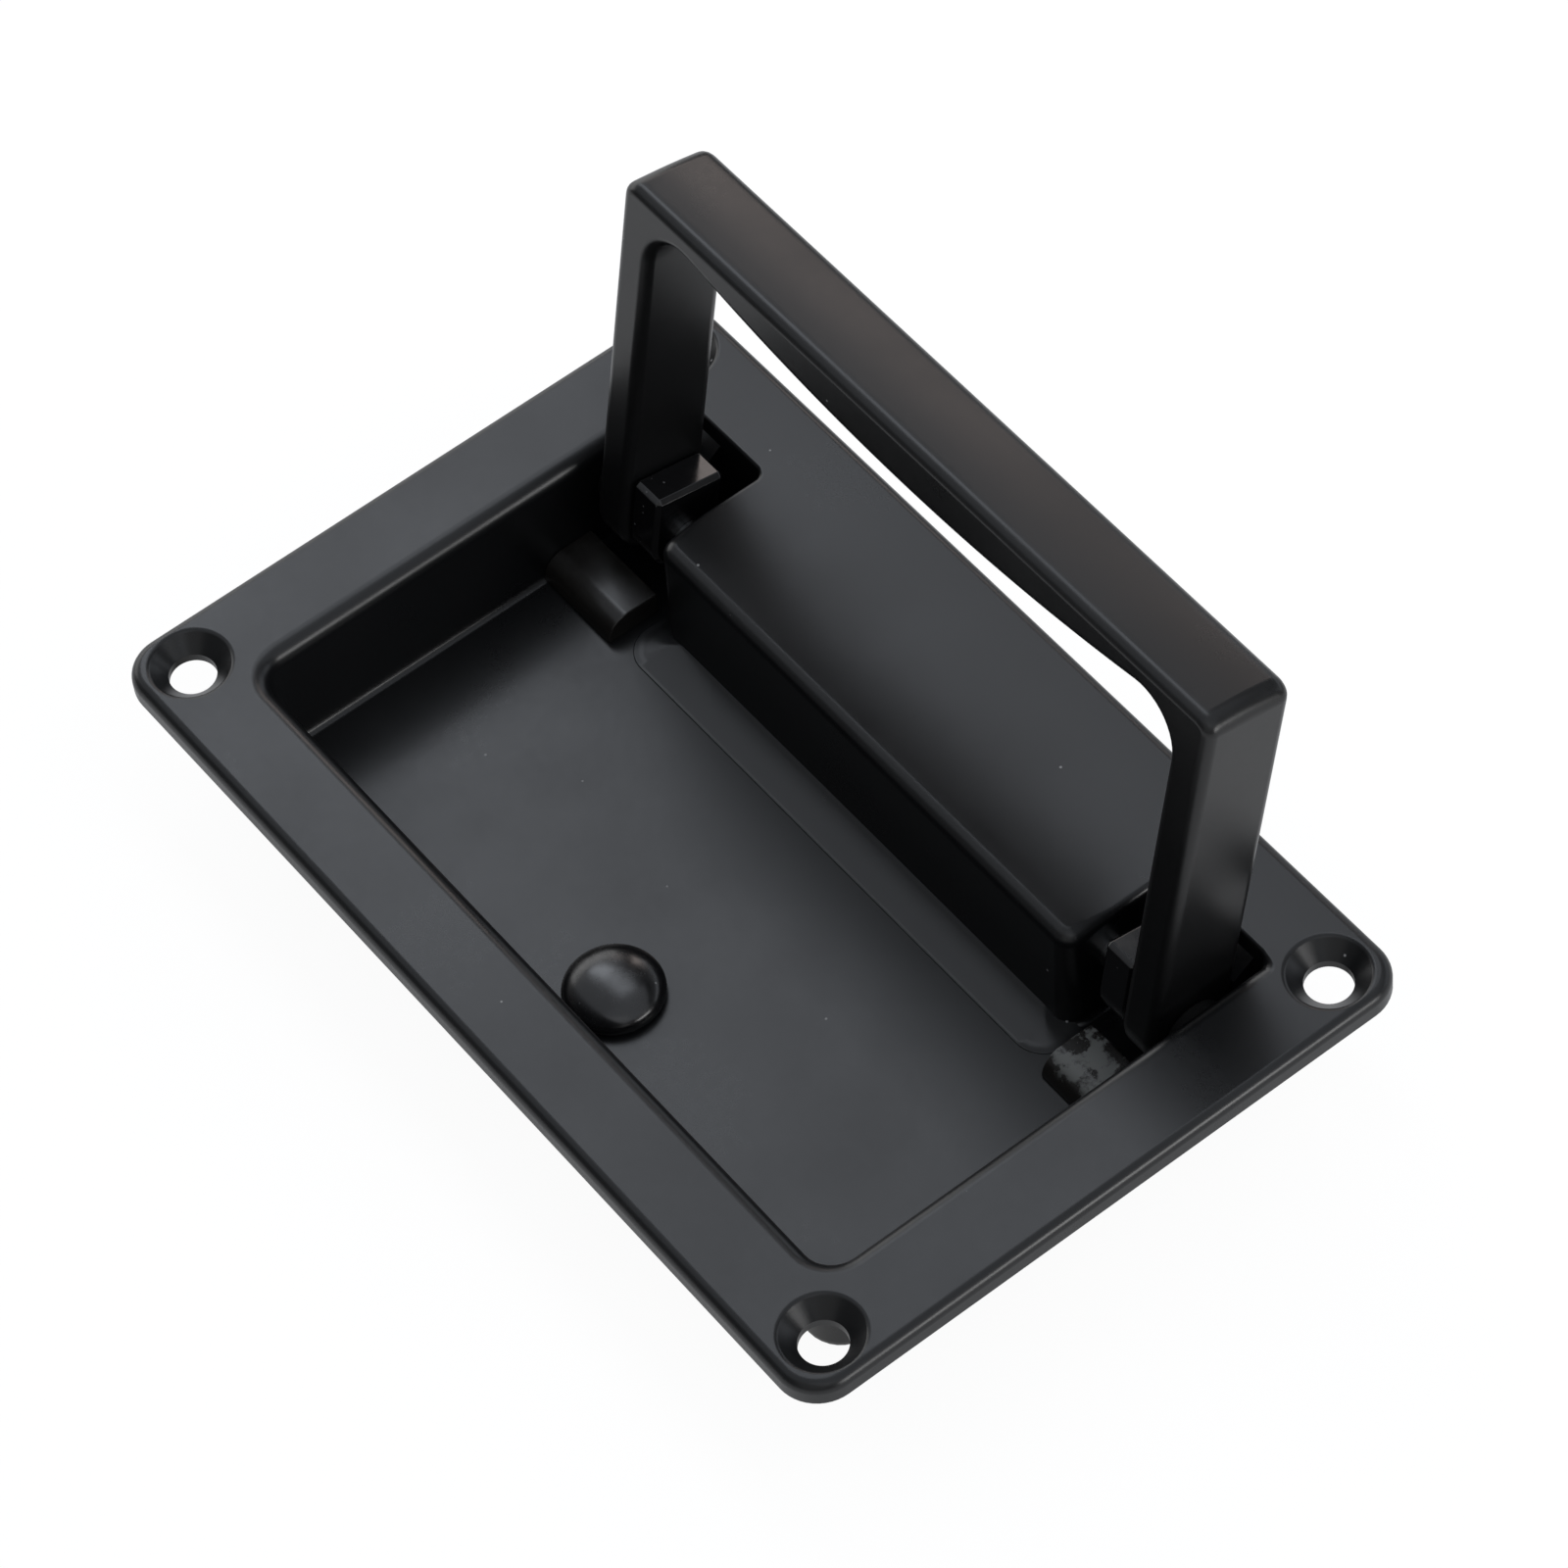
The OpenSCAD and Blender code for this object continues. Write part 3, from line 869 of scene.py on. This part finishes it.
def corner_pattern():
    """A node tree that stands one object on the four corners of a rectangle."""
    tree = bpy.data.node_groups.new("corner pattern", "GeometryNodeTree")
    face = tree.interface
    face.new_socket("Geometry", in_out="OUTPUT", socket_type="NodeSocketGeometry")
    kinds = {"Spacing X": "Float", "Spacing Y": "Float", "Cutter": "Object"}
    for name, kind in {**kinds, "Material": "Material"}.items():
        face.new_socket(name, in_out="INPUT", socket_type="NodeSocket" + kind)
    made = tree.nodes.new
    link = tree.links.new
    source = made("NodeGroupInput")
    grid = made("GeometryNodeMeshGrid")
    grid.inputs["Vertices X"].default_value = 2
    grid.inputs["Vertices Y"].default_value = 2
    link(source.outputs["Spacing X"], grid.inputs["Size X"])
    link(source.outputs["Spacing Y"], grid.inputs["Size Y"])
    info = made("GeometryNodeObjectInfo")
    link(source.outputs["Cutter"], info.inputs["Object"])
    stand = made("GeometryNodeInstanceOnPoints")
    link(grid.outputs["Mesh"], stand.inputs["Points"])
    link(info.outputs["Geometry"], stand.inputs["Instance"])
    real = made("GeometryNodeRealizeInstances")
    link(stand.outputs["Instances"], real.inputs["Geometry"])
    paint = made("GeometryNodeSetMaterial")
    link(real.outputs["Geometry"], paint.inputs["Geometry"])
    link(source.outputs["Material"], paint.inputs["Material"])
    result = made("NodeGroupOutput")
    link(paint.outputs["Geometry"], result.inputs["Geometry"])
    return tree


def screw_pattern(cutter, material):
    """The cutter at each of the four screw holes, as one mesh."""
    obj = bpy.data.objects.new("screw_pattern", bpy.data.meshes.new("screw_pattern"))
    bpy.context.scene.collection.objects.link(obj)
    modifier = obj.modifiers.new("corners", "NODES")
    modifier.node_group = corner_pattern()
    values = {
        "Spacing X": SCREWS["spacing_x_mm"] * MM,
        "Spacing Y": SCREWS["spacing_y_mm"] * MM,
        "Cutter": cutter,
        "Material": material,
    }
    for item in modifier.node_group.interface.items_tree:
        if item.in_out == "INPUT":
            modifier[item.identifier] = values[item.name]
    apply_modifiers(obj)
    discard(cutter)
    return obj


class HANDLE_OT_pan(Operator):
    """Build the cast pan with its flange, recess, pockets, shelf and screw holes"""

    bl_idname = "handle.pan"
    bl_label = "Pan casting"

    def execute(self, context):
        s = context.scene.handle_pan
        look = context.scene.handle_finishes
        coat = powder_coat("pan powder coat", look.coat, look)
        pan = pan_body(s)
        combine(pan, floor_strip(s), "UNION")
        for _, side in SIDES:
            combine(pan, open_stop(side, s, context.scene.handle_bail), "UNION")
        combine(pan, screw_pattern(screw_cutter(s), coat), "DIFFERENCE")
        for _, side in SIDES:
            ends = span(side, PIN_LOW.x - OVER, PIN_HIGH.x + OVER)
            combine(pan, bar_x(*ends, PIN_RADIUS, "pin_cutter"), "DIFFERENCE")
        fewest_faces = 1000
        if len(pan.data.polygons) < fewest_faces:
            raise RuntimeError("the pan lost faces while its holes were cut")
        finish_piece(pan, coat, "pan", "base_pan")
        return {"FINISHED"}


def bail_loop(s):
    """The bail's outline in front view, from the right foot over the top and back."""
    out, inner = BAIL_HALF, LEG_INNER
    bow_z = s.arm - s.grip + s.bow
    corner_x = inner - s.inner_corner
    reach = s.bow + s.inner_corner
    corner_z = bow_z - math.sqrt(reach * reach - corner_x * corner_x)
    tilt = math.asin(corner_x / reach)
    top_x = out - s.outer_corner
    top_z = s.arm - s.outer_corner
    half = [(out, 0.0)]
    for sine, cosine in arc(8):
        half.append((top_x + s.outer_corner * cosine, top_z + s.outer_corner * sine))
    under = [(inner, 0.0)]
    round_in = s.inner_corner
    for sine, cosine in arc(12, 0.0, 90.0 + math.degrees(tilt)):
        under.append((corner_x + round_in * cosine, corner_z + round_in * sine))
    for sine, cosine in arc(24, math.degrees(tilt), 0.0)[1:]:
        under.append((s.bow * sine, bow_z - s.bow * cosine))
    mirrored = [(-x, z) for x, z in reversed(half)]
    return half + mirrored + [(-x, z) for x, z in under] + under[-2::-1]


def bail_cage(s):
    """The bail upright about its pivot axis, with square edges and round feet."""
    half = s.width / 2
    loop = bail_loop(s)
    bm = bmesh.new()
    front = [bm.verts.new((x, -half, z)) for x, z in loop]
    back = [bm.verts.new((x, half, z)) for x, z in loop]
    bm.faces.new(front)
    bm.faces.new(back)
    feet = {}
    for i, (_, z) in enumerate(loop):
        j = (i + 1) % len(loop)
        next_z = loop[j][1]
        if z == next_z == 0.0:
            continue
        if 0.0 in (z, next_z):
            low, high = (i, j) if z == 0.0 else (j, i)
            x = loop[low][0]
            foot = [
                bm.verts.new((x, -half * cosine, -half * sine))
                for sine, cosine in arc(24, 0.0, 180.0)[1:-1]
            ]
            feet[x] = [front[low], *foot, back[low]]
            bm.faces.new([front[high], *feet[x], back[high]])
        else:
            bm.faces.new((front[i], front[j], back[j], back[i]))
    for _, side in SIDES:
        outer, inner = feet[side * BAIL_HALF], feet[side * LEG_INNER]
        for k in range(len(outer) - 1):
            bm.faces.new((outer[k], inner[k], inner[k + 1], outer[k + 1]))
    return to_object(bm, "bail_casting")


def crown_grip(obj, s):
    """Makes the grip's flat top very slightly round from front to rear."""
    half = s.width / 2
    cuts = [half * k / 4.5 for k in range(-3, 4)]
    band = 1.6 * s.edge
    bm = bmesh.new()
    bm.from_mesh(obj.data)
    for y in cuts:
        whole = bm.verts[:] + bm.edges[:] + bm.faces[:]
        bmesh.ops.bisect_plane(bm, geom=whole, plane_co=(0, y, 0), plane_no=(0, 1, 0))
    for v in bm.verts:
        near_top = smoothstep(s.arm - band, s.arm, v.co.z)
        v.co.z -= s.crown * near_top * (v.co.y / half) ** 2
    bm.to_mesh(obj.data)
    bm.free()


def lean_back(obj):
    """Carries what is built upright about the pivot axis to the open bail."""
    obj.data.transform(Matrix.Translation(PIVOT) @ Matrix.Rotation(-LEAN, 4, "X"))


class HANDLE_OT_bail(Operator):
    """Build the cast bail with its bowed grip, round feet and pivot holes"""

    bl_idname = "handle.bail"
    bl_label = "Bail casting"

    def execute(self, context):
        s = context.scene.handle_bail
        look = context.scene.handle_finishes
        coat = powder_coat("bail powder coat", look.bail_coat, look)
        bail = round_edges(bail_cage(s), s.edge, segments=5)
        crown_grip(bail, s)
        lean_back(bail)
        reach = BAIL_HALF + OVER
        cutter = bar_x(-reach, reach, PIN_RADIUS + s.clearance, "pivot_cutter")
        combine(bail, cutter, "DIFFERENCE")
        finish_piece(bail, coat, "bail", "bail_handle")
        return {"FINISHED"}


# Roughness of each gloss moulding where it is smooth and where handling has dulled it.
BLOCK_GLOSS = (0.12, 0.20)
BUMPER_GLOSS = (0.20, 0.32)
# How pale the top of each rest pad is made in patches.
PAD_PALE_TOP = {LEFT: 0.04, RIGHT: 1.0}


class HANDLE_OT_pivots(Operator):
    """Build the pivot pins, thrust washers and pivot blocks of both legs"""

    bl_idname = "handle.pivots"
    bl_label = "Pivots"

    def execute(self, context):
        s = context.scene.handle_small
        look = context.scene.handle_finishes
        steel = ground_steel("pin steel", look.steel)
        gloss = gloss_moulding("block gloss black", *BLOCK_GLOSS, look)
        matte = matte_moulding("washer plastic", look.washer)
        bore = PIN_RADIUS + context.scene.handle_bail.clearance
        for name, side in SIDES:
            ends = span(side, PIN_LOW.x, PIN_HIGH.x)
            pin = ring_x(0.0, PIN_RADIUS, s.pin_chamfer, *ends, name + "_pin")
            finish_piece(pin, steel, "pan", name + "_pivot_pin")
            ends = span(side, WASHER_LOW.x, WASHER_HIGH.x)
            ring = ring_x(bore, WASHER_RADIUS, s.soft_edge, *ends, name + "_washer")
            finish_piece(ring, matte, "pan", name + "_thrust_washer")
            block = self.block(side, s, bore, name + "_block")
            finish_piece(block, gloss, "bail", name + "_pivot_block")
        return {"FINISHED"}

    def block(self, side, s, bore, name):
        """A block with a round lower end and chamfered edges, drilled for its pin."""
        half = s.block_width / 2
        foot = arc(24, 0.0, 180.0)
        section = [(-half * cosine, -half * sine) for sine, cosine in foot]
        section += [(half, s.block_height), (-half, s.block_height)]
        block = extrude_x(section, *span(side, BLOCK_LOW.x, BLOCK_HIGH.x), name)
        round_edges(block, s.block_edge, segments=1)
        round_edges(block, s.block_fine, segments=2, crease=25.0)
        lean_back(block)
        reach = span(side, BLOCK_LOW.x - OVER, BLOCK_HIGH.x + OVER)
        return combine(block, bar_x(*reach, bore, "block_cutter"), "DIFFERENCE")


class HANDLE_OT_pads(Operator):
    """Build the two rest pads and the dome that the folded grip lands on"""

    bl_idname = "handle.pads"
    bl_label = "Pads and bumper"

    def execute(self, context):
        s = context.scene.handle_small
        look = context.scene.handle_finishes
        for name, side in SIDES:
            pale_top = pale_topped_pad(name + " pad moulding", PAD_PALE_TOP[side], look)
            pad = self.pad(side, s, name + "_pad")
            finish_piece(pad, pale_top, "pan", name + "_rest_pad")
        gloss = gloss_moulding("bumper gloss black", *BUMPER_GLOSS, look)
        finish_piece(self.dome(s), gloss, "pan", "grip_bumper")
        return {"FINISHED"}

    def pad(self, side, s, name):
        """A bar across the end of the recess, with a round front edge."""
        low, high = PAD_LOW, PAD_HIGH
        radius = s.pad_round
        y, z = low.y + radius, high.z - radius
        section = [(low.y, low.z)]
        for sine, cosine in arc(12):
            section.append((y - radius * cosine, z + radius * sine))
        section += [(high.y, high.z), (high.y, low.z)]
        pad = extrude_x(section, *span(side, low.x, high.x), name)
        return round_edges(pad, s.pad_edge, segments=3, crease=50.0)

    def dome(self, s):
        """A low dome on a stem."""
        radius = (DOME_HIGH.x - DOME_LOW.x) / 2
        brim = s.dome_brim
        rise = DOME_HIGH.z - FLOOR_Z - brim
        bottom = DOME_LOW.z - FLOOR_Z
        profile = [(radius * sine, brim + rise * cosine) for sine, cosine in arc(28)]
        for inset, drop in quarter(8)[1:]:
            profile.append((radius - s.dome_foot * inset, brim * drop))
        profile += [(s.stem, 0.0), (s.stem, bottom), (0.0, bottom)]
        bm = revolve(profile)
        middle = (DOME_LOW + DOME_HIGH) / 2
        bmesh.ops.translate(bm, verts=bm.verts, vec=(middle.x, middle.y, FLOOR_Z))
        return to_object(bm, "bumper_dome")


COOL = (0.87, 0.92, 1.0)
WARM = (1.0, 0.87, 0.82)
WHITE = (1.0, 1.0, 1.0)
# Height of the overhead lamps, which face straight down.
CEILING = 0.60
FLOOR_HALF = 3.0
# The floor lies just clear of the shell, so that the two faces don't flicker.
FLOOR_GAP = 0.02 * MM
# Strength of the floor's plain white, and of the room's own light.
FLOOR_WHITE = 1.05
ROOM = 0.08
# How far floor and room show plain white: to the camera, and in metal, gloss and glass.
FLOOR_SEEN, FLOOR_MIRRORED = 0.90, 0.3
ROOM_SEEN, ROOM_MIRRORED = 1.0, 0.08
SENSOR_WIDTH = 36.0
# Each lamp's name, centre, width, depth, radiance and colour, in metres.
PANELS = (
    ("overhead panel", (-0.235, 0.19, CEILING), 0.37, 0.25, 2.05, COOL),
    ("left overhead panel", (-0.62, 0.19, CEILING), 0.40, 0.25, 3.1, COOL),
    ("front overhead panel", (-0.40, -0.28, CEILING), 0.90, 0.60, 0.40, COOL),
    ("rear overhead panel", (-0.55, 0.53, CEILING), 0.50, 0.16, 0.8, COOL),
    ("right overhead panel", (0.43, 0.10, CEILING), 0.96, 0.90, 0.50, COOL),
    ("warm panel", (-0.80, 0.86, CEILING), 0.60, 0.50, 2.25, WARM),
    ("key panel", (0.35, 0.20, CEILING), 0.30, 0.30, 1.8, WHITE),
    ("left panel", (-0.95, 0.05, 0.30), 1.10, 0.50, 1.6, WHITE),
    ("right panel", (0.95, 0.30, 0.25), 0.50, 0.30, 6.0, WHITE),
    ("rear panel", (0.05, 1.15, 0.40), 1.60, 0.50, 0.8, COOL),
    ("fill panel", (0.50, -0.54, 0.54), 0.90, 0.90, 0.25, WHITE),
)


class HANDLE_OT_stage(Operator):
    """Set the floor, soft lamps and the camera at the photograph's angle"""

    bl_idname = "handle.stage"
    bl_label = "Stage"

    def execute(self, context):
        s = context.scene.handle_stage
        self.floor(s)
        self.world(context.scene)
        self.lamps()
        self.camera(context.scene, s)
        context.scene.view_settings.view_transform = "Standard"
        return {"FINISHED"}

    def floor(self, s):
        """A wide pale floor, white to the camera but for the object's soft shadow."""
        bm = bmesh.new()
        bmesh.ops.create_grid(bm, x_segments=1, y_segments=1, size=FLOOR_HALF)
        bmesh.ops.translate(bm, verts=bm.verts, vec=(0, 0, PAN_LOW.z - FLOOR_GAP))
        floor = to_object(bm, "floor")
        n = surface("floor")
        n.give("Base Color", (*s.floor, 1.0))
        n.give("Roughness", 0.9)
        n.give("Specular IOR Level", 0.0)
        look = {"Color": (*WHITE, 1.0), "Strength": FLOOR_WHITE}
        white = n.add("ShaderNodeEmission", look)
        n.show_white(white, FLOOR_SEEN, FLOOR_MIRRORED, "Material Output")
        floor.data.materials.append(n.owner)

    def world(self, scene):
        """A dim even room that is white behind the object."""
        n = Nodes(bpy.data.worlds.new("studio"), "Background")
        n.give("Color", (*COOL, 1.0))
        n.give("Strength", ROOM)
        look = {"Color": (*WHITE, 1.0), "Strength": 1.0}
        white = n.add("ShaderNodeBackground", look)
        n.show_white(white, ROOM_SEEN, ROOM_MIRRORED, "World Output")
        scene.world = n.owner

    def lamps(self):
        """Soft panels above and round the object."""
        for name, place, width, height, radiance, colour in PANELS:
            self.panel(name, Vector(place), width, height, radiance, colour)

    def panel(self, name, place, width, height, radiance, colour):
        """A lamp that faces the object, its power worked out from size and radiance."""
        light = bpy.data.lights.new(name, "AREA")
        light.shape = "RECTANGLE"
        light.size = width
        light.size_y = height
        light.energy = radiance * math.pi * width * height
        light.color = colour
        obj = bpy.data.objects.new(name, light)
        obj.location = place
        if place.z < CEILING:
            obj.rotation_euler = (-place).to_track_quat("-Z", "Y").to_euler()
        bpy.context.scene.collection.objects.link(obj)

    def camera(self, scene, s):
        """The camera where the photograph was taken from."""
        data = bpy.data.cameras.new("camera")
        data.lens = s.lens
        data.sensor_width = SENSOR_WIDTH
        data.clip_start = 0.01
        flat, rise = math.cos(s.elevation), math.sin(s.elevation)
        back = Vector((math.sin(s.azimuth) * flat, -math.cos(s.azimuth) * flat, rise))
        level = back.cross(Vector((0, 0, 1))).normalized() * -1
        upright = back.cross(level)
        right = math.cos(s.roll) * level + math.sin(s.roll) * upright
        up = math.cos(s.roll) * upright - math.sin(s.roll) * level
        turn = Matrix((right, up, back)).transposed().to_4x4()
        camera = bpy.data.objects.new("camera", data)
        camera.matrix_world = Matrix.Translation(Vector(s.place)) @ turn
        scene.collection.objects.link(camera)
        scene.camera = camera


class HANDLE_PT_sidebar(Panel):
    """Lists the handle's parts in the sidebar"""

    bl_label = "Flush folding handle"
    bl_idname = "HANDLE_PT_sidebar"
    bl_space_type = "VIEW_3D"
    bl_region_type = "UI"
    bl_category = "Handle"

    def draw(self, context):
        layout = self.layout
        for name, _, operators in GROUPS:
            box = layout.box()
            group = getattr(context.scene, name)
            for key in group.__annotations__:
                box.prop(group, key)
            for operator in operators:
                box.operator(operator.bl_idname)


# Each settings group's name on the scene, its class and the operators that use it.
GROUPS = (
    ("handle_pan", PanSizes, (HANDLE_OT_pan,)),
    ("handle_bail", BailSizes, (HANDLE_OT_bail,)),
    ("handle_small", SmallSizes, (HANDLE_OT_pivots, HANDLE_OT_pads)),
    ("handle_finishes", Finishes, ()),
    ("handle_stage", StageSettings, (HANDLE_OT_stage,)),
)
CLASSES = (
    *(group for _, group, _ in GROUPS),
    *(operator for _, _, operators in GROUPS for operator in operators),
    HANDLE_PT_sidebar,
)


def register():
    """Registers the classes and puts their settings on the scene."""
    for cls in CLASSES:
        bpy.utils.register_class(cls)
    for name, group, _ in GROUPS:
        setattr(bpy.types.Scene, name, PointerProperty(type=group))


def unregister():
    """Undoes register."""
    for name, _, _ in GROUPS:
        delattr(bpy.types.Scene, name)
    for cls in reversed(CLASSES):
        bpy.utils.unregister_class(cls)


def main():
    """Builds the whole handle and its stage."""
    register()
    bpy.ops.handle.stage()
    bpy.ops.handle.pan()
    bpy.ops.handle.bail()
    bpy.ops.handle.pivots()
    bpy.ops.handle.pads()


if __name__ == "__main__":
    main()
